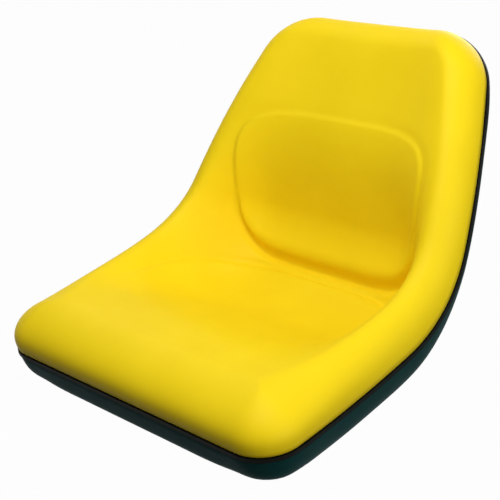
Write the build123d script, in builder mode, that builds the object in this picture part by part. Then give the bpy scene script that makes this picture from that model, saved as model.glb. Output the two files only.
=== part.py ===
from build123d import *
import os
from math import cos, exp, hypot, pi, radians, sin, sqrt

os.makedirs("parts", exist_ok=True)

# A low-back bucket seat for a small tractor, in millimetres.
# X is sideways, -Y is the front and +Z is up. The origin is the centre of the four mounting
# holes, on the plane of the mounting pads that the seat is bolted down on.

# Rim line in side view: three tangent arcs, with lengths along the line and slopes in degrees
SEAT_RUN = 252.0
BEND_RUN = 158.0
BACK_RUN = 273.0
FRONT_SLOPE = 8.5
SEAT_SLOPE = 19.5
BACK_SLOPE = 63.5
TOP_SLOPE = 60.0
FRONT_REACH = 187.0  # from the hole centre forward to the front of the rim line
RIM_HEIGHT = 45.0  # from the mounting plane up to the front of the rim line

# Rim outline across the seat
FRONT_WIDTH = 512.0
HIP_WIDTH = 502.0
TOP_WIDTH = 331.0
FRONT_CORNER = 52.0
TOP_CORNER = 64.0

# Cushion heights above the rim line at the side bolsters, and the dish between them
FRONT_RIDGE = 64.5
HIP_RIDGE = 54.0
LUMBAR_RIDGE = 46.5
TOP_RIDGE = 51.0
SEAT_DISH = 8.0
SEAT_DISH_RUN = 100.8  # along the rim line
BEND_DISH = 102.0
BACK_DISH = 21.0
TOP_DISH = 11.0
SEAT_DISH_POWER = 8.0  # powers of the curve by which the bolsters rise out of the dish to a round crest
BACK_DISH_POWER = 4.4
FRONT_ROLL = 57.0
SIDE_ROLL = 32.0
TOP_ROLL = 43.0
ROLL_REACH = 85.0  # how far the front and top rolls carry on into the sides
CUSHION_EDGE = 2.0

# Raised lumbar pad
LUMBAR_WIDTH = 336.0
LUMBAR_UP = 83.0
LUMBAR_DOWN = 110.0
LUMBAR_CENTRE = 455.0  # along the rim line
LUMBAR_TAPER = 0.1  # half-width lost for each millimetre down from the middle
LUMBAR_TOP_POWER = 2.6  # of the curves that round the pad's upper and lower halves
LUMBAR_FOOT_POWER = 5.0
LUMBAR_TOP_RISE = 5.0
LUMBAR_FOOT_RISE = 11.0
LUMBAR_ROLL = 16.0

# Pressed pan
PAN_WALL = 1.6
PAN_LIP = 8.0  # upright lip under the rim line
LIP_ROOM = 2.0  # from the rim line down to the top of the lip
FRONT_SWELL = 42.0  # depth of the rounded wall below the lip, by place
CORNER_SWELL = 32.0
SIDE_SWELL = 30.5
BACK_SWELL = 16.0
SWELL_LENGTH = 7.0
CORNER_START = 0.5  # shares of the half-width between which the front goes over into the corner
CORNER_END = 0.85
FRONT_FLARE = 0.36  # slope of the pan inside the rounded wall
SIDE_FLARE = 0.63
BACK_FLARE = 0.35
LOWER_BACK_DEPTH = 74.0  # from the rim line back to the pan, at the foot and at the top of the back
UPPER_BACK_DEPTH = 26.0
FLOOR_BLEND = 9.0
HEEL_BLEND = 40.0

# Mounting pads, holes, nuts and drains
HOLE_SPACING_X = 203.2
HOLE_SPACING_Y = 203.2
BOLT_HOLE = 9.0
PAD_WIDTH = 40.0
PAD_DRAW = 3.0
PAD_DRAFT = 0.7  # radius gained for each millimetre up
PAD_SEAT = 8.0  # how far a pad runs on up into the floor
NUT_FLATS = 13.0
NUT_HEIGHT = 6.5
NUT_BORE = 8.1
DRAIN_HOLE = 10.0
DRAIN_SPACING = 90.0

# Edge trim: a channel pushed down over the pan's lip
TRIM_PROUD = 1.0
TRIM_WIDTH = 6.0
TRIM_HEIGHT = 5.0
TRIM_WALL = 1.4

# Stiffening beads pressed out of the back
BEAD_WIDTH = 22.0
BEAD_LENGTH = 130.0
BEAD_SPACING = 110.0
BEAD_DRAW = 3.0
BEAD_DRAFT = 35.0
BEAD_SEAT = 6.0  # how far a bead runs on into the back

# Clearances
FIT_GAP = 0.3
LIP_GAP = 0.5
FOAM_GAP = 0.8
NUT_ROOM = 6.0
CORE_COVER = 6.0  # foam of the crown that covers the core inside the pan, where the dish is deep

POINTS_ACROSS = 21
CORNER_STATIONS = 6
SEAT_STATIONS = 4
BEND_STATIONS = 5
BACK_STATIONS = 3
PAD_STATIONS = 13
PAD_END = 0.985  # share of the lumbar pad's length at its first and last sections

RUN = SEAT_RUN + BEND_RUN + BACK_RUN
FOOT_OF_BACK = SEAT_RUN + BEND_RUN
MID_SEAT = SEAT_RUN / 2
MID_BEND = SEAT_RUN + BEND_RUN / 2
MID_BACK = FOOT_OF_BACK + BACK_RUN / 2
TRIM_BORE = TRIM_WIDTH - TRIM_PROUD
GROOVE_OUTSIDE = TRIM_WALL - TRIM_PROUD
PAN_INSET = GROOVE_OUTSIDE + LIP_GAP
GROOVE_INSIDE = PAN_INSET + PAN_WALL + LIP_GAP
GROOVE_TOP = LIP_ROOM - FIT_GAP


def rim_point(run):
    """Side view of the rim line: Y, Z and slope at a length along it, run on past both ends."""
    y = -FRONT_REACH
    z = RIM_HEIGHT
    arcs = (
        (SEAT_RUN, radians(FRONT_SLOPE), radians(SEAT_SLOPE)),
        (BEND_RUN, radians(SEAT_SLOPE), radians(BACK_SLOPE)),
        (BACK_RUN, radians(BACK_SLOPE), radians(TOP_SLOPE)),
    )
    for index, (length, slope, end_slope) in enumerate(arcs):
        last = index == len(arcs) - 1
        step = run if last else min(run, length)
        radius = length / (end_slope - slope)
        turned = slope + step / radius
        y += radius * (sin(turned) - sin(slope))
        z -= radius * (cos(turned) - cos(slope))
        slope = turned
        run -= step
        if run <= 0:
            break
    return y, z, slope


def section_plane(run):
    """Plane square to the rim line: its x is the seat's X and its y points up out of the cushion."""
    y, z, slope = rim_point(run)
    return Plane(origin=(0, y, z), x_dir=(1, 0, 0), z_dir=(0, -cos(slope), -sin(slope)))


def eased(run, *stops):
    """Smooth curve with a level tangent at each (run, value) stop."""
    first, last = stops[0], stops[-1]
    if run <= first[0]:
        return first[1]
    for (run_a, value_a), (run_b, value_b) in zip(stops, stops[1:]):
        if run <= run_b:
            share = (run - run_a) / (run_b - run_a)
            return value_a + (value_b - value_a) * share * share * (3 - 2 * share)
    return last[1]


def side_line(run):
    """Half-width of the rim before its corners are rounded."""
    if run < SEAT_RUN:
        front = max(0.0, 1 - run / SEAT_RUN)
        return (HIP_WIDTH + (FRONT_WIDTH - HIP_WIDTH) * front**2) / 2
    taper = min(1.0, (run - SEAT_RUN) / (RUN - SEAT_RUN))
    return (HIP_WIDTH - (HIP_WIDTH - TOP_WIDTH) * taper**2) / 2


def half_width(run, inset):
    """Half-width of the rim outline moved inwards by inset, with its rounded corners."""
    for radius, reach in ((FRONT_CORNER, run), (TOP_CORNER, RUN - run)):
        if reach < radius:
            rise = max(0.0, (radius - inset) ** 2 - (radius - reach) ** 2)
            return side_line(run) - radius + sqrt(rise)
    return side_line(run) - inset


def rim_distance(run, x):
    """How far a point of the rim surface lies inside the rim outline."""
    side = side_line(run) - abs(x)
    for radius, reach in ((FRONT_CORNER, run), (TOP_CORNER, RUN - run)):
        if reach < radius and side < radius:
            return radius - hypot(radius - reach, radius - side)
    return min(side, run, RUN - run)


def rounded(distance, radius):
    """Height share of a quarter-round edge at a distance in from the edge."""
    share = min(1.0, max(0.0, distance / radius))
    return sqrt(1 - (1 - share) ** 2)


def cushion_height(run, x):
    """Cushion surface above the rim surface, without the lumbar pad."""
    ridge = eased(
        run,
        (0, FRONT_RIDGE),
        (SEAT_RUN, HIP_RIDGE),
        (FOOT_OF_BACK, LUMBAR_RIDGE),
        (RUN, TOP_RIDGE),
    )
    dish = eased(
        run,
        (0, 0),
        (SEAT_DISH_RUN, SEAT_DISH),
        (MID_BEND, BEND_DISH),
        (MID_BACK, BACK_DISH),
        (RUN, TOP_DISH),
    )
    sideways = min(1.0, abs(x) / (side_line(run) - SIDE_ROLL))
    power = eased(run, (MID_BEND, SEAT_DISH_POWER), (MID_BACK, BACK_DISH_POWER))
    bolster = sideways**power * (1 + power * (1 - sideways))
    front = (FRONT_ROLL - SIDE_ROLL) * exp(-((run / ROLL_REACH) ** 2))
    top = (TOP_ROLL - SIDE_ROLL) * exp(-(((RUN - run) / ROLL_REACH) ** 2))
    roll = rounded(rim_distance(run, x), SIDE_ROLL + front + top)
    return CUSHION_EDGE + (ridge - CUSHION_EDGE - dish * (1 - bolster)) * roll


def core_top(run, x, rim_level, cover):
    """Level at the rim that drops in the dish, so that it keeps a cover of foam above it."""
    if rim_distance(run, x) < SIDE_ROLL / 2:
        return rim_level
    return min(rim_level, cushion_height(run, x) - cover)


def lower_of(a, b, blend):
    """The smaller of two depths, with the corner between them rounded off."""
    return (a + b - hypot(a - b, blend)) / 2


def pan_back():
    """Side view of the pan's straight back: Y and Z of its foot, then of its top."""
    ends = []
    for run, depth in ((FOOT_OF_BACK, LOWER_BACK_DEPTH), (RUN, UPPER_BACK_DEPTH)):
        y, z, slope = rim_point(run)
        ends += [y + depth * sin(slope), z - depth * cos(slope)]
    return ends


def pan_floor(run):
    """Depth of the pan in the middle: down to its level floor, or back to its straight back."""
    y, z, slope = rim_point(run)
    to_floor = (z - PAD_DRAW) / cos(slope)
    foot_y, foot_z, top_y, top_z = pan_back()
    rise_y = top_y - foot_y
    rise_z = top_z - foot_z
    square = sin(slope) * rise_z + cos(slope) * rise_y
    to_back = ((foot_y - y) * rise_z - (foot_z - z) * rise_y) / square
    return lower_of(to_floor, to_back, HEEL_BLEND)


def pan_depth(run, x, skin):
    """Depth of the pan below the rim surface, at a distance skin inside its outer face."""
    inside = max(0.0, rim_distance(run, x) - PAN_INSET - skin)
    sideways = abs(x) / side_line(run)
    front_swell = eased(sideways, (CORNER_START, FRONT_SWELL), (CORNER_END, CORNER_SWELL))
    swell = eased(
        run,
        (0, front_swell),
        (MID_SEAT, SIDE_SWELL),
        (SEAT_RUN, SIDE_SWELL),
        (FOOT_OF_BACK, BACK_SWELL),
    )
    flare = eased(
        run,
        (0, FRONT_FLARE),
        (MID_SEAT, SIDE_FLARE),
        (SEAT_RUN, SIDE_FLARE),
        (FOOT_OF_BACK, BACK_FLARE),
    )
    wall = PAN_LIP + swell * (1 - exp(-inside / SWELL_LENGTH)) + flare * inside
    return lower_of(wall, pan_floor(run), FLOOR_BLEND) - skin


def lumbar_reach(run):
    """Half-width of the lumbar pad before its ends are rounded, and the rounding's length and power."""
    if run > LUMBAR_CENTRE:
        return LUMBAR_WIDTH / 2, LUMBAR_UP, LUMBAR_TOP_POWER
    width = LUMBAR_WIDTH / 2 - LUMBAR_TAPER * (LUMBAR_CENTRE - run)
    return width, LUMBAR_DOWN, LUMBAR_FOOT_POWER


def lumbar_half_width(run):
    """Half-width of the lumbar pad's outline."""
    width, length, power = lumbar_reach(run)
    share = min(1.0, abs(run - LUMBAR_CENTRE) / length)
    return width * (1 - share**power) ** (1 / power)


def lumbar_rise(run):
    """How far the lumbar pad stands out of the cushion, thicker towards its foot."""
    low = LUMBAR_CENTRE - LUMBAR_DOWN
    high = LUMBAR_CENTRE + LUMBAR_UP
    return eased(run, (low, LUMBAR_FOOT_RISE), (high, LUMBAR_TOP_RISE))


def lumbar_height(run, x):
    """Lumbar pad surface above the rim surface."""
    width, length, power = lumbar_reach(run)
    along = abs(run - LUMBAR_CENTRE) / length
    across = abs(x) / width
    place = (along**power + across**power) ** (1 / power)
    inside = (1 - place) * min(width, length)
    return cushion_height(run, x) + lumbar_rise(run) * (2 * rounded(inside, LUMBAR_ROLL) - 1)


def lumbar_foot(run, x):
    """Underside of the lumbar pad, sunk into the foam of the cushion."""
    return cushion_height(run, x) - 2 * lumbar_rise(run)


def rim_stations(inset):
    """Lengths along the rim line for the sections of a body inset from the rim, closer in the corners."""
    turns = [pi / 2 * k / CORNER_STATIONS for k in range(CORNER_STATIONS)]
    front = [inset + (FRONT_CORNER - inset) * (1 - cos(turn)) for turn in turns]
    top = [RUN - inset - (TOP_CORNER - inset) * (1 - cos(turn)) for turn in reversed(turns)]
    middle = []
    stretches = (
        (FRONT_CORNER, SEAT_RUN, SEAT_STATIONS),
        (SEAT_RUN, FOOT_OF_BACK, BEND_STATIONS),
        (FOOT_OF_BACK, RUN - TOP_CORNER, BACK_STATIONS),
    )
    for start, end, count in stretches:
        middle += [start + (end - start) * k / count for k in range(count)]
    return front + middle + [RUN - TOP_CORNER] + top


def across(width):
    """Places across a section, closer together towards both sides."""
    turns = [pi * k / (POINTS_ACROSS - 1) for k in range(POINTS_ACROSS)]
    return [-width * cos(turn) for turn in turns]


def edge_points(run, width, height):
    """Points of a section's upper or lower edge. The height is a number or a function of (run, x)."""
    if callable(height):
        return [(x, height(run, x)) for x in across(width)]
    return [(-width, height), (width, height)]


def section(run, width, upper, lower):
    """Closed section square to the rim line, between two heights."""
    edges = [edge_points(run, width, height) for height in (upper, lower)]
    with BuildSketch(section_plane(run)) as outline:
        with BuildLine():
            for points in edges:
                if len(points) > 2:
                    Spline(*points)
                else:
                    Line(*points)
            Line(edges[0][0], edges[1][0])
            Line(edges[0][-1], edges[1][-1])
        make_face()
    return outline.sketch


def rim_body(inset, upper, lower, mode=Mode.ADD):
    """Loft of sections inside the rim outline, between two heights."""
    runs = rim_stations(inset)
    loft([section(run, half_width(run, inset), upper, lower) for run in runs], mode=mode)


def lumbar_body():
    """Loft of the lumbar pad, from inside the foam up through the cushion's surface."""
    low = LUMBAR_CENTRE - PAD_END * LUMBAR_DOWN
    high = LUMBAR_CENTRE + PAD_END * LUMBAR_UP
    sections = []
    for k in range(PAD_STATIONS):
        run = low + (high - low) * (1 - cos(pi * k / (PAD_STATIONS - 1))) / 2
        sections.append(section(run, lumbar_half_width(run), lumbar_height, lumbar_foot))
    loft(sections)


def pad_cones(skin, mode):
    """Drawn mounting pads: cones that open upwards, at a distance skin inside their outer faces."""
    height = PAD_DRAW + PAD_SEAT
    with GridLocations(HOLE_SPACING_X, HOLE_SPACING_Y, 2, 2):
        with Locations((0, 0, skin)):
            Cone(
                PAD_WIDTH / 2 - skin,
                PAD_WIDTH / 2 - skin + height * PAD_DRAFT,
                height,
                align=(Align.CENTER, Align.CENTER, Align.MIN),
                mode=mode,
            )


def back_plane():
    """Plane of the pan's straight back, halfway up it, facing into the cushion."""
    foot_y, foot_z, top_y, top_z = pan_back()
    middle = (0, (foot_y + top_y) / 2, (foot_z + top_z) / 2)
    return Plane(origin=middle, x_dir=(1, 0, 0), z_dir=(0, foot_z - top_z, top_y - foot_y))


def beads(skin, mode):
    """Beads pressed out of the straight back, at a distance skin inside their outer faces."""
    with BuildSketch(back_plane().offset(skin - BEAD_DRAW)) as slots:
        with GridLocations(BEAD_SPACING, 1, 2, 1):
            SlotOverall(BEAD_LENGTH - 2 * skin, BEAD_WIDTH - 2 * skin, rotation=90)
    extrude(slots.sketch, amount=BEAD_DRAW + BEAD_SEAT, taper=-BEAD_DRAFT, mode=mode)


# Cushion: foam with its bonded skin, seated in the pan, with pockets over the nuts
with BuildPart() as cushion:
    rim_body(0, cushion_height, lambda run, x: core_top(run, x, 0, 2 * CORE_COVER))
    rim_body(
        TRIM_BORE + FIT_GAP,
        lambda run, x: core_top(run, x, CUSHION_EDGE / 2, CORE_COVER),
        lambda run, x: -pan_depth(run, x, PAN_WALL + FOAM_GAP),
    )
    lumbar_body()
    with GridLocations(HOLE_SPACING_X, HOLE_SPACING_Y, 2, 2):
        Cylinder(
            NUT_FLATS,
            PAN_WALL + NUT_HEIGHT + NUT_ROOM,
            align=(Align.CENTER, Align.CENTER, Align.MIN),
            mode=Mode.SUBTRACT,
        )
cushion.part.label = "cushion"
export_step(cushion.part, "parts/cushion.step")

# Pan: a pressed shell with four drawn mounting pads and two beads on its back
with BuildPart() as seat_pan:
    rim_body(PAN_INSET, -LIP_ROOM, lambda run, x: -pan_depth(run, x, 0))
    pad_cones(0, Mode.ADD)
    beads(0, Mode.ADD)
    rim_body(PAN_INSET + PAN_WALL, 0, lambda run, x: -pan_depth(run, x, PAN_WALL), Mode.SUBTRACT)
    pad_cones(PAN_WALL, Mode.SUBTRACT)
    beads(PAN_WALL, Mode.SUBTRACT)
    with GridLocations(HOLE_SPACING_X, HOLE_SPACING_Y, 2, 2):
        Cylinder(BOLT_HOLE / 2, 2 * PAD_DRAW, mode=Mode.SUBTRACT)
    with GridLocations(DRAIN_SPACING, 1, 2, 1):
        Cylinder(DRAIN_HOLE / 2, 2 * (PAD_DRAW + PAD_SEAT), mode=Mode.SUBTRACT)
seat_pan.part.label = "seat_pan"
export_step(seat_pan.part, "parts/seat_pan.step")

# Edge trim: a channel section, open downwards, whose groove takes the pan's lip
with BuildPart() as edge_trim:
    rim_body(-TRIM_PROUD, -FIT_GAP, -TRIM_HEIGHT)
    rim_body(GROOVE_OUTSIDE, -GROOVE_TOP, -2 * TRIM_HEIGHT, mode=Mode.SUBTRACT)
    rim_body(GROOVE_INSIDE, -(FIT_GAP + GROOVE_TOP) / 2, -TRIM_HEIGHT)
    rim_body(TRIM_BORE, TRIM_HEIGHT, -2 * TRIM_HEIGHT, mode=Mode.SUBTRACT)
edge_trim.part.label = "edge_trim"
export_step(edge_trim.part, "parts/edge_trim.step")

# Weld nuts on the inner faces of the mounting pads
with BuildPart() as weld_nuts:
    with BuildSketch(Plane.XY.offset(PAN_WALL)):
        with GridLocations(HOLE_SPACING_X, HOLE_SPACING_Y, 2, 2):
            RegularPolygon(NUT_FLATS / 2, 6, major_radius=False)
            Circle(NUT_BORE / 2, mode=Mode.SUBTRACT)
    extrude(amount=NUT_HEIGHT)
weld_nuts.part.label = "weld_nuts"
export_step(weld_nuts.part, "parts/weld_nuts.step")
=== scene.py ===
"""A low-back tractor seat: the fine surface of its cushion, its finishes and a plain studio round it."""
import bpy
from math import cos, exp, hypot, radians, sin, sqrt
from mathutils import Matrix, Vector


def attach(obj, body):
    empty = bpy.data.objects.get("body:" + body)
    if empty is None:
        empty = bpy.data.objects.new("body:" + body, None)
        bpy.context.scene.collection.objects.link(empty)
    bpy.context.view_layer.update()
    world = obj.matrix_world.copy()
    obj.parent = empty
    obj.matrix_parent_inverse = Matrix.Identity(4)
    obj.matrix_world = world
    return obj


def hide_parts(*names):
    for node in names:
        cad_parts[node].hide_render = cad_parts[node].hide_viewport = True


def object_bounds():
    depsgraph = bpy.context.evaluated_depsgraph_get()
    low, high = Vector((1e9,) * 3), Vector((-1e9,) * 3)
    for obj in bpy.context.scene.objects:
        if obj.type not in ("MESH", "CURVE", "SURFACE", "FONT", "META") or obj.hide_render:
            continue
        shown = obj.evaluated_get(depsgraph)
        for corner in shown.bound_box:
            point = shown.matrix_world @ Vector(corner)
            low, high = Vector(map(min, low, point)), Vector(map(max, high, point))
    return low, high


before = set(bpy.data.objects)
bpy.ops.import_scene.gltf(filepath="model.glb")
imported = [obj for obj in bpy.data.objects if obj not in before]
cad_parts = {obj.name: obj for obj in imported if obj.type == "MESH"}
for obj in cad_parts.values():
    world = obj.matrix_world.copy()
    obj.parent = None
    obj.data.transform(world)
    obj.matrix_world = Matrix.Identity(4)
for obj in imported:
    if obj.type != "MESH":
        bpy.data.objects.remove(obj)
cad_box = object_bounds()

# The seat's own sizes are in millimetres, as its solids have them, and points are made in metres
MM = 0.001

# Rim line in side view: three tangent arcs, with lengths along the line and slopes in degrees
SEAT_RUN = 252.0
BEND_RUN = 158.0
BACK_RUN = 273.0
FRONT_SLOPE = 8.5
SEAT_SLOPE = 19.5
BACK_SLOPE = 63.5
TOP_SLOPE = 60.0
FRONT_REACH = 187.0
RIM_HEIGHT = 45.0

# Rim outline across the seat
FRONT_WIDTH = 512.0
HIP_WIDTH = 502.0
TOP_WIDTH = 331.0
FRONT_CORNER = 52.0
TOP_CORNER = 64.0

# Cushion heights above the rim line at the side bolsters, the dish between them and the rounded edge
FRONT_RIDGE = 64.5
HIP_RIDGE = 54.0
LUMBAR_RIDGE = 46.5
TOP_RIDGE = 51.0
SEAT_DISH = 8.0
SEAT_DISH_RUN = 100.8
BEND_DISH = 102.0
BACK_DISH = 21.0
TOP_DISH = 11.0
SEAT_DISH_POWER = 8.0
BACK_DISH_POWER = 4.4
FRONT_ROLL = 88.0
SIDE_ROLL = 32.0
TOP_ROLL = 43.0
ROLL_REACH = 110.0
CUSHION_EDGE = 2.0
BULGE = 10.0
BULGE_REACH = 170.0

# Raised lumbar pad, and the width of both pads' creases
LUMBAR_WIDTH = 336.0
LUMBAR_UP = 83.0
LUMBAR_DOWN = 99.0
LUMBAR_CENTRE = 455.0
LUMBAR_TAPER = 0.08
LUMBAR_TOP_POWER = 3.4
LUMBAR_FOOT_POWER = 6.0
LUMBAR_TOP_RISE = 2.0
LUMBAR_SIDE_RISE = 6.0
LUMBAR_FOOT_RISE = 12.0
LUMBAR_TOP_ROLL = 6.0
LUMBAR_FOOT_ROLL = 14.0
LUMBAR_CROWN = 1.5
TOP_CREASE_DEPTH = 0.5
FOOT_CREASE_DEPTH = 9.0
CREASE_WIDTH = 5.0

# Faint seat pad
SEAT_PAD_WIDTH = 372.0
SEAT_PAD_CENTRE = 170.0
SEAT_PAD_LENGTH = 167.0
SEAT_PAD_POWER = 4.5
SEAT_PAD_RISE = 5.5
SEAT_CREASE_DEPTH = 2.5
SEAT_PAD_ROLL = 6.0
SEAT_PAD_FADE = (130.0, 300.0)

# Share of an outline's size inside which a point counts as deep in it
OUTLINE_CORE = 0.2

# Fineness of the cushion's mesh
ROWS = 310
COLUMNS = 262
FINE_STEPS = 4000
EDGE_REACH = 12.0
EDGE_CROWDING = 8.0
MEETING_RUN = 347.0
MEETING_REACH = 30.0
MEETING_CROWDING = 2.0
LINING_DEPTH = 12.0
LINING_RINGS = 9

RUN = SEAT_RUN + BEND_RUN + BACK_RUN
FOOT_OF_BACK = SEAT_RUN + BEND_RUN
MID_BEND = SEAT_RUN + BEND_RUN / 2
MID_BACK = FOOT_OF_BACK + BACK_RUN / 2

# Finishes: the two ends of each colour, the range of each roughness, and the reflection level
VINYL_COLOURS = ((0.89, 0.645, 0.007), (0.92, 0.675, 0.009))
VINYL_ROUGHNESS = (0.46, 0.58)
VINYL_REFLECTION = 0.1
PAINT_COLOURS = ((0.004, 0.034, 0.032), (0.005, 0.040, 0.038))
PAINT_ROUGHNESS = (0.42, 0.55)
PAINT_REFLECTION = 0.012
TRIM_COLOURS = ((0.004, 0.005, 0.004), (0.008, 0.009, 0.008))
TRIM_ROUGHNESS = (0.45, 0.6)
TRIM_REFLECTION = 0.04
STEEL_COLOURS = ((0.50, 0.49, 0.46), (0.62, 0.61, 0.58))
STEEL_ROUGHNESS = (0.28, 0.42)

# Noise in each finish, in waves per metre: for its colour, its roughness and its bump
VINYL_WAVES = (14.0, 60.0)
PAINT_WAVES = (25.0, 90.0, 700.0)
TRIM_WAVES = (120.0, 300.0, 1500.0)
STEEL_WAVES = (200.0, 400.0)
BROAD_DETAIL = 4.0
PLAIN_DETAIL = 3.0
BUMP_DETAIL = 2.0

# Bump of the paint and the trim, with its depth in metres
BUMP_DEPTH = 0.0001
PAINT_BUMP = 0.3
TRIM_BUMP = 0.2

# Range of a noise over which a colour goes from one end to the other
COLOUR_RANGE = (0.3, 0.7)

# Vinyl grain, in cells per metre, with its depth in metres
GRAIN_SCALE = 900.0
GRAIN_DEPTH = 0.0002
GRAIN_STRENGTH = 0.25

# Floor, whose edge lies far out of sight, and how much of it shows as white
FLOOR_REACH = 20.0
FLOOR_GAP = 0.0005
FLOOR_COLOUR = (0.1, 0.1, 0.1, 1.0)
FLOOR_WHITE = 0.98

# Light: the strength of the world on the seat, and each lamp's place, size and power
WORLD_LIGHT = 0.04
LAMPS = {
    "key": ((0.3, -0.5, 1.4), 1.0, 18.0),
    "right": ((2.2, 0.0, 0.7), 1.3, 22.0),
    "left": ((-1.8, 0.4, 1.8), 1.3, 6.0),
    "behind": ((-0.6, 2.2, 1.0), 1.3, 22.0),
}

# Camera, fitted to the photograph: the target is the point that the distance is measured from
IMAGE_SIZE = 500
TARGET = Vector((0.0, 0.033, 0.125))
TARGET_PIXEL = (249.6, 296.2)
FOCAL_PIXELS = 1215.6
DISTANCE = 1.598
AZIMUTH = 46.25
ELEVATION = 19.345
ROLL = -0.423
SENSOR = 36.0


def rim_point(run):
    """Side view of the rim line: Y, Z and slope at a length along it."""
    y = -FRONT_REACH
    z = RIM_HEIGHT
    arcs = (
        (SEAT_RUN, radians(FRONT_SLOPE), radians(SEAT_SLOPE)),
        (BEND_RUN, radians(SEAT_SLOPE), radians(BACK_SLOPE)),
        (BACK_RUN, radians(BACK_SLOPE), radians(TOP_SLOPE)),
    )
    for length, slope, end_slope in arcs:
        step = min(run, length)
        radius = length / (end_slope - slope)
        turned = slope + step / radius
        y += radius * (sin(turned) - sin(slope))
        z -= radius * (cos(turned) - cos(slope))
        slope = turned
        run -= step
        if run <= 0:
            break
    return y, z, slope


def smooth(share):
    """Smooth step from 0 to 1."""
    share = min(1.0, max(0.0, share))
    return share * share * (3 - 2 * share)


def eased(run, *stops):
    """Smooth curve with a level tangent at each (run, value) stop."""
    if run <= stops[0][0]:
        return stops[0][1]
    for (run_a, value_a), (run_b, value_b) in zip(stops, stops[1:]):
        if run <= run_b:
            return value_a + (value_b - value_a) * smooth((run - run_a) / (run_b - run_a))
    return stops[-1][1]


def side_line(run):
    """Half-width of the rim before its corners are rounded."""
    if run < SEAT_RUN:
        front = max(0.0, 1 - run / SEAT_RUN)
        return (HIP_WIDTH + (FRONT_WIDTH - HIP_WIDTH) * front**2) / 2
    taper = min(1.0, (run - SEAT_RUN) / (RUN - SEAT_RUN))
    return (HIP_WIDTH - (HIP_WIDTH - TOP_WIDTH) * taper**2) / 2


def half_width(run):
    """Half-width of the rim outline, with its rounded corners."""
    for radius, reach in ((FRONT_CORNER, run), (TOP_CORNER, RUN - run)):
        if reach < radius:
            rise = max(0.0, radius**2 - (radius - reach) ** 2)
            return side_line(run) - radius + sqrt(rise)
    return side_line(run)


def rim_distance(run, x):
    """How far a point of the rim surface lies inside the rim outline."""
    side = side_line(run) - abs(x)
    for radius, reach in ((FRONT_CORNER, run), (TOP_CORNER, RUN - run)):
        if reach < radius and side < radius:
            return radius - hypot(radius - reach, radius - side)
    return min(side, run, RUN - run)


def rounded(distance, radius):
    """Height share of a quarter-round edge at a distance in from the edge."""
    share = min(1.0, max(0.0, distance / radius))
    return sqrt(1 - (1 - share) ** 2)


def rim_outward(run, x):
    """Unit direction out over the nearest point of the rim, along the rim line and across it."""
    side = side_line(run) - abs(x)
    sign = 1.0 if x > 0 else -1.0
    ends = ((FRONT_CORNER, run, -1.0), (TOP_CORNER, RUN - run, 1.0))
    for radius, reach, way in ends:
        if reach < radius and side < radius:
            length = hypot(radius - reach, radius - side)
            return way * (radius - reach) / length, sign * (radius - side) / length
    for radius, reach, way in ends:
        if reach < side and reach <= RUN / 2:
            return way, 0.0
    return 0.0, sign


def edge_roll(run):
    """Radius of the cushion's rounded edge."""
    front = (FRONT_ROLL - SIDE_ROLL) * exp(-((run / ROLL_REACH) ** 2))
    top = (TOP_ROLL - SIDE_ROLL) * exp(-(((RUN - run) / ROLL_REACH) ** 2))
    return SIDE_ROLL + front + top


def edge_bulge(run, x):
    """How far the rounded edge swells out over the trim, so that its foot tucks in under it."""
    level = 1 - min(1.0, max(0.0, rim_distance(run, x) / edge_roll(run)))
    return 2 * BULGE * exp(-((run / BULGE_REACH) ** 2)) * sqrt(1 - level * level) * level**3


def cushion_height(run, x):
    """Cushion surface above the rim surface, without its raised pads."""
    ridge = eased(
        run,
        (0, FRONT_RIDGE),
        (SEAT_RUN, HIP_RIDGE),
        (FOOT_OF_BACK, LUMBAR_RIDGE),
        (RUN, TOP_RIDGE),
    )
    dish = eased(
        run,
        (0, 0),
        (SEAT_DISH_RUN, SEAT_DISH),
        (MID_BEND, BEND_DISH),
        (MID_BACK, BACK_DISH),
        (RUN, TOP_DISH),
    )
    sideways = min(1.0, abs(x) / (side_line(run) - SIDE_ROLL))
    power = eased(run, (MID_BEND, SEAT_DISH_POWER), (MID_BACK, BACK_DISH_POWER))
    bolster = sideways**power * (1 + power * (1 - sideways))
    roll = rounded(rim_distance(run, x), edge_roll(run))
    return CUSHION_EDGE + (ridge - CUSHION_EDGE - dish * (1 - bolster)) * roll


def outline_distance(along, length, across, width, power):
    """Distance inside an outline rounded as a power curve, negative outside it."""
    a = abs(along) / length
    b = abs(across) / width
    place = (a**power + b**power) ** (1 / power)
    if place < OUTLINE_CORE:
        return min(length, width)
    steepness = hypot(a ** (power - 1) / length, b ** (power - 1) / width) * place ** (1 - power)
    return (1 - place) / steepness


def lumbar_inside(run, x):
    """Distance inside the lumbar pad's outline."""
    if run > LUMBAR_CENTRE:
        return outline_distance(run - LUMBAR_CENTRE, LUMBAR_UP, x, LUMBAR_WIDTH / 2, LUMBAR_TOP_POWER)
    width = LUMBAR_WIDTH / 2 - LUMBAR_TAPER * (LUMBAR_CENTRE - run)
    return outline_distance(run - LUMBAR_CENTRE, LUMBAR_DOWN, x, width, LUMBAR_FOOT_POWER)


def lumbar_relief(run, x):
    """Raised lumbar pad with a quarter-round edge, a slight crown and a crease, deepest at its foot."""
    inside = lumbar_inside(run, x)
    low = LUMBAR_CENTRE - LUMBAR_DOWN
    high = LUMBAR_CENTRE + LUMBAR_UP
    rise = eased(
        run, (low, LUMBAR_FOOT_RISE), (FOOT_OF_BACK, LUMBAR_SIDE_RISE), (high, LUMBAR_TOP_RISE)
    )
    roll = eased(run, (low, LUMBAR_FOOT_ROLL), (high, LUMBAR_TOP_ROLL))
    crown = LUMBAR_CROWN * smooth(inside / LUMBAR_UP)
    depth = eased(run, (low, FOOT_CREASE_DEPTH), (FOOT_OF_BACK, TOP_CREASE_DEPTH))
    crease = depth * exp(-((inside / CREASE_WIDTH + 1) ** 2))
    return rise * rounded(inside, roll) + crown - crease


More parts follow.
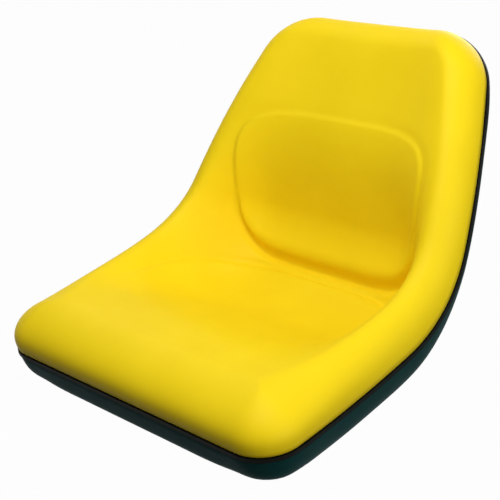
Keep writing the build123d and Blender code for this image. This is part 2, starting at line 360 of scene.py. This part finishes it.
def seat_relief(run, x):
    """Faint seat pad, whose edge and crease are clear at the back and fade out to the front."""
    inside = outline_distance(
        run - SEAT_PAD_CENTRE, SEAT_PAD_LENGTH, x, SEAT_PAD_WIDTH / 2, SEAT_PAD_POWER
    )
    crease = SEAT_CREASE_DEPTH * exp(-((inside / CREASE_WIDTH + 1) ** 2))
    start, end = SEAT_PAD_FADE
    relief = SEAT_PAD_RISE * rounded(inside, SEAT_PAD_ROLL) - crease
    return relief * smooth((run - start) / (end - start))


def surface_height(run, x):
    """Cushion surface above the rim surface, with its raised pads."""
    return cushion_height(run, x) + lumbar_relief(run, x) + seat_relief(run, x)


def lining_height(run, x):
    """Underside of the cushion's mesh, out of sight in the pan."""
    if rim_distance(run, x) < SIDE_ROLL / 2:
        return 0.0
    return min(0.0, cushion_height(run, x) - LINING_DEPTH)


def placed(count, length, weight):
    """Lengths from 0 to a length, at equal steps of a weight that is summed along it."""
    step = length / FINE_STEPS
    sums = [0.0]
    for k in range(FINE_STEPS):
        sums.append(sums[-1] + weight((k + 0.5) * step))
    places = []
    k = 0
    for n in range(count):
        goal = sums[-1] * n / (count - 1)
        while k < FINE_STEPS - 1 and sums[k + 1] < goal:
            k += 1
        places.append((k + (goal - sums[k]) / (sums[k + 1] - sums[k])) * step)
    return places


def edge_weight(reach):
    """How much closer the mesh is at a distance from an edge."""
    return 1 + EDGE_CROWDING * exp(-((reach / EDGE_REACH) ** 2))


def row_weight(run):
    """Rows lie closer at both ends and where the two pads meet."""
    meeting = MEETING_CROWDING * exp(-(((run - MEETING_RUN) / MEETING_REACH) ** 2))
    return edge_weight(min(run, RUN - run)) + meeting


def column_weight(across):
    """Columns lie closer at both sides."""
    return edge_weight(min(across, HIP_WIDTH - across))


def surface_point(run, x, h, out):
    """Point at a height over the rim surface, moved out over the rim, in metres."""
    y, z, slope = rim_point(run)
    out_along, out_across = rim_outward(run, x)
    step = out * out_along
    place = Vector((x + out * out_across, y, z))
    place += Vector((0, step * cos(slope) - h * sin(slope), step * sin(slope) + h * cos(slope)))
    return place * MM


def make_cushion():
    """One closed mesh: the cushion's upper surface, and a lining in rings from its rim to its middle."""
    runs = placed(ROWS, RUN, row_weight)
    shares = [2 * across / HIP_WIDTH - 1 for across in placed(COLUMNS, HIP_WIDTH, column_weight)]
    spots = [(run, share * half_width(run)) for run in runs for share in shares]
    points = [surface_point(run, x, surface_height(run, x), edge_bulge(run, x)) for run, x in spots]
    faces = []
    for i in range(ROWS - 1):
        for j in range(COLUMNS - 1):
            a = i * COLUMNS + j
            faces.append((a, a + 1, a + COLUMNS + 1, a + COLUMNS))
    ring = list(range(COLUMNS))
    ring += [i * COLUMNS + COLUMNS - 1 for i in range(1, ROWS)]
    ring += [(ROWS - 1) * COLUMNS + j for j in range(COLUMNS - 2, -1, -1)]
    ring += [i * COLUMNS for i in range(ROWS - 2, 0, -1)]
    rim_spots = [spots[k] for k in ring]
    for n in range(1, LINING_RINGS + 1):
        share = 1 - n / (LINING_RINGS + 1)
        first = len(points)
        for rim_run, rim_x in rim_spots:
            run = RUN / 2 + (rim_run - RUN / 2) * share
            x = rim_x * share
            points.append(surface_point(run, x, lining_height(run, x), 0.0))
        inner = list(range(first, len(points)))
        for a, b, c, d in zip(ring, ring[1:] + ring[:1], inner[1:] + inner[:1], inner):
            faces.append((b, a, d, c))
        ring = inner
    middle = len(points)
    points.append(surface_point(RUN / 2, 0.0, lining_height(RUN / 2, 0.0), 0.0))
    for a, b in zip(ring, ring[1:] + ring[:1]):
        faces.append((b, a, middle))
    mesh = bpy.data.meshes.new("cushion_skin")
    mesh.from_pydata(points, [], faces)
    mesh.validate()
    for face in mesh.polygons:
        face.use_smooth = True
    cushion = bpy.data.objects.new("cushion_skin", mesh)
    bpy.context.collection.objects.link(cushion)
    return cushion


def new_material(name):
    """Material with its node tree, and the Principled shader in it."""
    material = bpy.data.materials.new(name)
    material.use_nodes = True
    return material, material.node_tree, material.node_tree.nodes["Principled BSDF"]


def noise(tree, scale, detail):
    """Noise texture in the seat's own frame, with its scale in waves per metre."""
    place = tree.nodes.new("ShaderNodeTexCoord")
    texture = tree.nodes.new("ShaderNodeTexNoise")
    texture.inputs["Scale"].default_value = scale
    texture.inputs["Detail"].default_value = detail
    tree.links.new(place.outputs["Object"], texture.inputs["Vector"])
    return texture.outputs["Fac"]


def ramp(tree, value, colours):
    """Colour ramp between two colours over a value."""
    node = tree.nodes.new("ShaderNodeValToRGB")
    for element, position, colour in zip(node.color_ramp.elements, COLOUR_RANGE, colours):
        element.position = position
        element.color = (*colour, 1.0)
    tree.links.new(value, node.inputs["Fac"])
    return node.outputs["Color"]


def spread_value(tree, value, low, high):
    """A 0 to 1 value stretched over the range low to high."""
    node = tree.nodes.new("ShaderNodeMapRange")
    node.inputs["To Min"].default_value = low
    node.inputs["To Max"].default_value = high
    tree.links.new(value, node.inputs["Value"])
    return node.outputs["Result"]


def bump(tree, shader, height, depth, strength):
    """Bump of a given depth in metres on a shader."""
    node = tree.nodes.new("ShaderNodeBump")
    node.inputs["Distance"].default_value = depth
    node.inputs["Strength"].default_value = strength
    tree.links.new(height, node.inputs["Height"])
    tree.links.new(node.outputs["Normal"], shader.inputs["Normal"])


def finish(tree, shader, waves, detail, colours, roughness):
    """Uneven colour and roughness on a shader."""
    patches = noise(tree, waves[0], detail)
    tree.links.new(ramp(tree, patches, colours), shader.inputs["Base Color"])
    wear = noise(tree, waves[1], PLAIN_DETAIL)
    tree.links.new(spread_value(tree, wear, *roughness), shader.inputs["Roughness"])


def vinyl_material():
    """Yellow vinyl skin with a fine grain."""
    material, tree, shader = new_material("yellow_vinyl")
    finish(tree, shader, VINYL_WAVES, BROAD_DETAIL, VINYL_COLOURS, VINYL_ROUGHNESS)
    shader.inputs["Specular IOR Level"].default_value = VINYL_REFLECTION
    grain = tree.nodes.new("ShaderNodeTexVoronoi")
    grain.inputs["Scale"].default_value = GRAIN_SCALE
    place = tree.nodes.new("ShaderNodeTexCoord")
    tree.links.new(place.outputs["Object"], grain.inputs["Vector"])
    bump(tree, shader, grain.outputs["Distance"], GRAIN_DEPTH, GRAIN_STRENGTH)
    return material


def paint_material():
    """Dark green paint on the pan, nearly without gloss."""
    material, tree, shader = new_material("green_paint")
    finish(tree, shader, PAINT_WAVES, BROAD_DETAIL, PAINT_COLOURS, PAINT_ROUGHNESS)
    shader.inputs["Specular IOR Level"].default_value = PAINT_REFLECTION
    bump(tree, shader, noise(tree, PAINT_WAVES[2], BUMP_DETAIL), BUMP_DEPTH, PAINT_BUMP)
    return material


def trim_material():
    """Black extruded vinyl."""
    material, tree, shader = new_material("black_trim")
    finish(tree, shader, TRIM_WAVES, PLAIN_DETAIL, TRIM_COLOURS, TRIM_ROUGHNESS)
    shader.inputs["Specular IOR Level"].default_value = TRIM_REFLECTION
    bump(tree, shader, noise(tree, TRIM_WAVES[2], BUMP_DETAIL), BUMP_DEPTH, TRIM_BUMP)
    return material


def steel_material():
    """Zinc-plated steel of the nuts."""
    material, tree, shader = new_material("zinc_steel")
    finish(tree, shader, STEEL_WAVES, PLAIN_DETAIL, STEEL_COLOURS, STEEL_ROUGHNESS)
    shader.inputs["Metallic"].default_value = 1.0
    return material


def dress(piece, material):
    """Gives a piece one material."""
    piece.data.materials.clear()
    piece.data.materials.append(material)


def background_rays(tree):
    """1 for the rays that show the background: from the camera, reflected and let through."""
    rays = tree.nodes.new("ShaderNodeLightPath")
    seen = rays.outputs["Is Camera Ray"]
    for name in ("Is Glossy Ray", "Is Transmission Ray"):
        either = tree.nodes.new("ShaderNodeMath")
        either.operation = "MAXIMUM"
        tree.links.new(seen, either.inputs[0])
        tree.links.new(rays.outputs[name], either.inputs[1])
        seen = either.outputs[0]
    return seen


def make_floor():
    """Dark floor that shows white to the camera and keeps the seat's shadow."""
    z = cad_box[0][2] - FLOOR_GAP
    mesh = bpy.data.meshes.new("floor")
    corners = [(-FLOOR_REACH, -FLOOR_REACH, z), (FLOOR_REACH, -FLOOR_REACH, z)]
    corners += [(FLOOR_REACH, FLOOR_REACH, z), (-FLOOR_REACH, FLOOR_REACH, z)]
    mesh.from_pydata(corners, [], [(0, 1, 2, 3)])
    floor = bpy.data.objects.new("floor", mesh)
    bpy.context.collection.objects.link(floor)
    material = bpy.data.materials.new("floor")
    material.use_nodes = True
    tree = material.node_tree
    tree.nodes.clear()
    diffuse = tree.nodes.new("ShaderNodeBsdfDiffuse")
    diffuse.inputs["Color"].default_value = FLOOR_COLOUR
    white = tree.nodes.new("ShaderNodeEmission")
    share = tree.nodes.new("ShaderNodeMath")
    share.operation = "MULTIPLY"
    share.inputs[1].default_value = FLOOR_WHITE
    tree.links.new(background_rays(tree), share.inputs[0])
    mix = tree.nodes.new("ShaderNodeMixShader")
    tree.links.new(share.outputs[0], mix.inputs["Fac"])
    tree.links.new(diffuse.outputs[0], mix.inputs[1])
    tree.links.new(white.outputs[0], mix.inputs[2])
    output = tree.nodes.new("ShaderNodeOutputMaterial")
    tree.links.new(mix.outputs[0], output.inputs["Surface"])
    dress(floor, material)


def add_softbox(name, place, size, power):
    """Square soft lamp at a place, aimed at the seat and out of the camera's sight."""
    lamp = bpy.data.lights.new(name, "AREA")
    lamp.size = size
    lamp.energy = power
    box = bpy.data.objects.new(name, lamp)
    box.location = place
    box.visible_camera = False
    box.rotation_euler = (TARGET - Vector(place)).to_track_quat("-Z", "Y").to_euler()
    bpy.context.collection.objects.link(box)


def light_studio():
    """Soft lamps round the seat, and a world that is dim on the seat and white behind it."""
    world = bpy.data.worlds.new("studio")
    world.use_nodes = True
    tree = world.node_tree
    sky = tree.nodes["Background"]
    sky.inputs["Color"].default_value = (1.0, 1.0, 1.0, 1.0)
    strength = spread_value(tree, background_rays(tree), WORLD_LIGHT, 1.0)
    tree.links.new(strength, sky.inputs["Strength"])
    bpy.context.scene.world = world
    for name, (place, size, power) in LAMPS.items():
        add_softbox(name, place, size, power)
    bpy.context.scene.view_settings.view_transform = "Standard"


def place_camera():
    """Camera at the photograph's viewing angle."""
    azimuth = radians(AZIMUTH)
    elevation = radians(ELEVATION)
    roll = radians(ROLL)
    back = Vector((sin(azimuth) * cos(elevation), -cos(azimuth) * cos(elevation), sin(elevation)))
    level = Vector((cos(azimuth), sin(azimuth), 0.0))
    upright = back.cross(level)
    right = level * cos(roll) + upright * sin(roll)
    up = upright * cos(roll) - level * sin(roll)
    place = TARGET + back * DISTANCE
    camera = bpy.data.objects.new("camera", bpy.data.cameras.new("camera"))
    turn = Matrix((right, up, back)).transposed().to_4x4()
    camera.matrix_world = Matrix.Translation(place) @ turn
    camera.data.sensor_width = SENSOR
    camera.data.lens = SENSOR * FOCAL_PIXELS / IMAGE_SIZE
    camera.data.shift_x = 0.5 - TARGET_PIXEL[0] / IMAGE_SIZE
    camera.data.shift_y = TARGET_PIXEL[1] / IMAGE_SIZE - 0.5
    bpy.context.collection.objects.link(camera)
    bpy.context.scene.camera = camera


cushion = make_cushion()
dress(cushion, vinyl_material())
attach(cushion, "root")
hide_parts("cushion")

dress(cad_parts["seat_pan"], paint_material())
dress(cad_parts["edge_trim"], trim_material())
dress(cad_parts["weld_nuts"], steel_material())

make_floor()
light_studio()
place_camera()
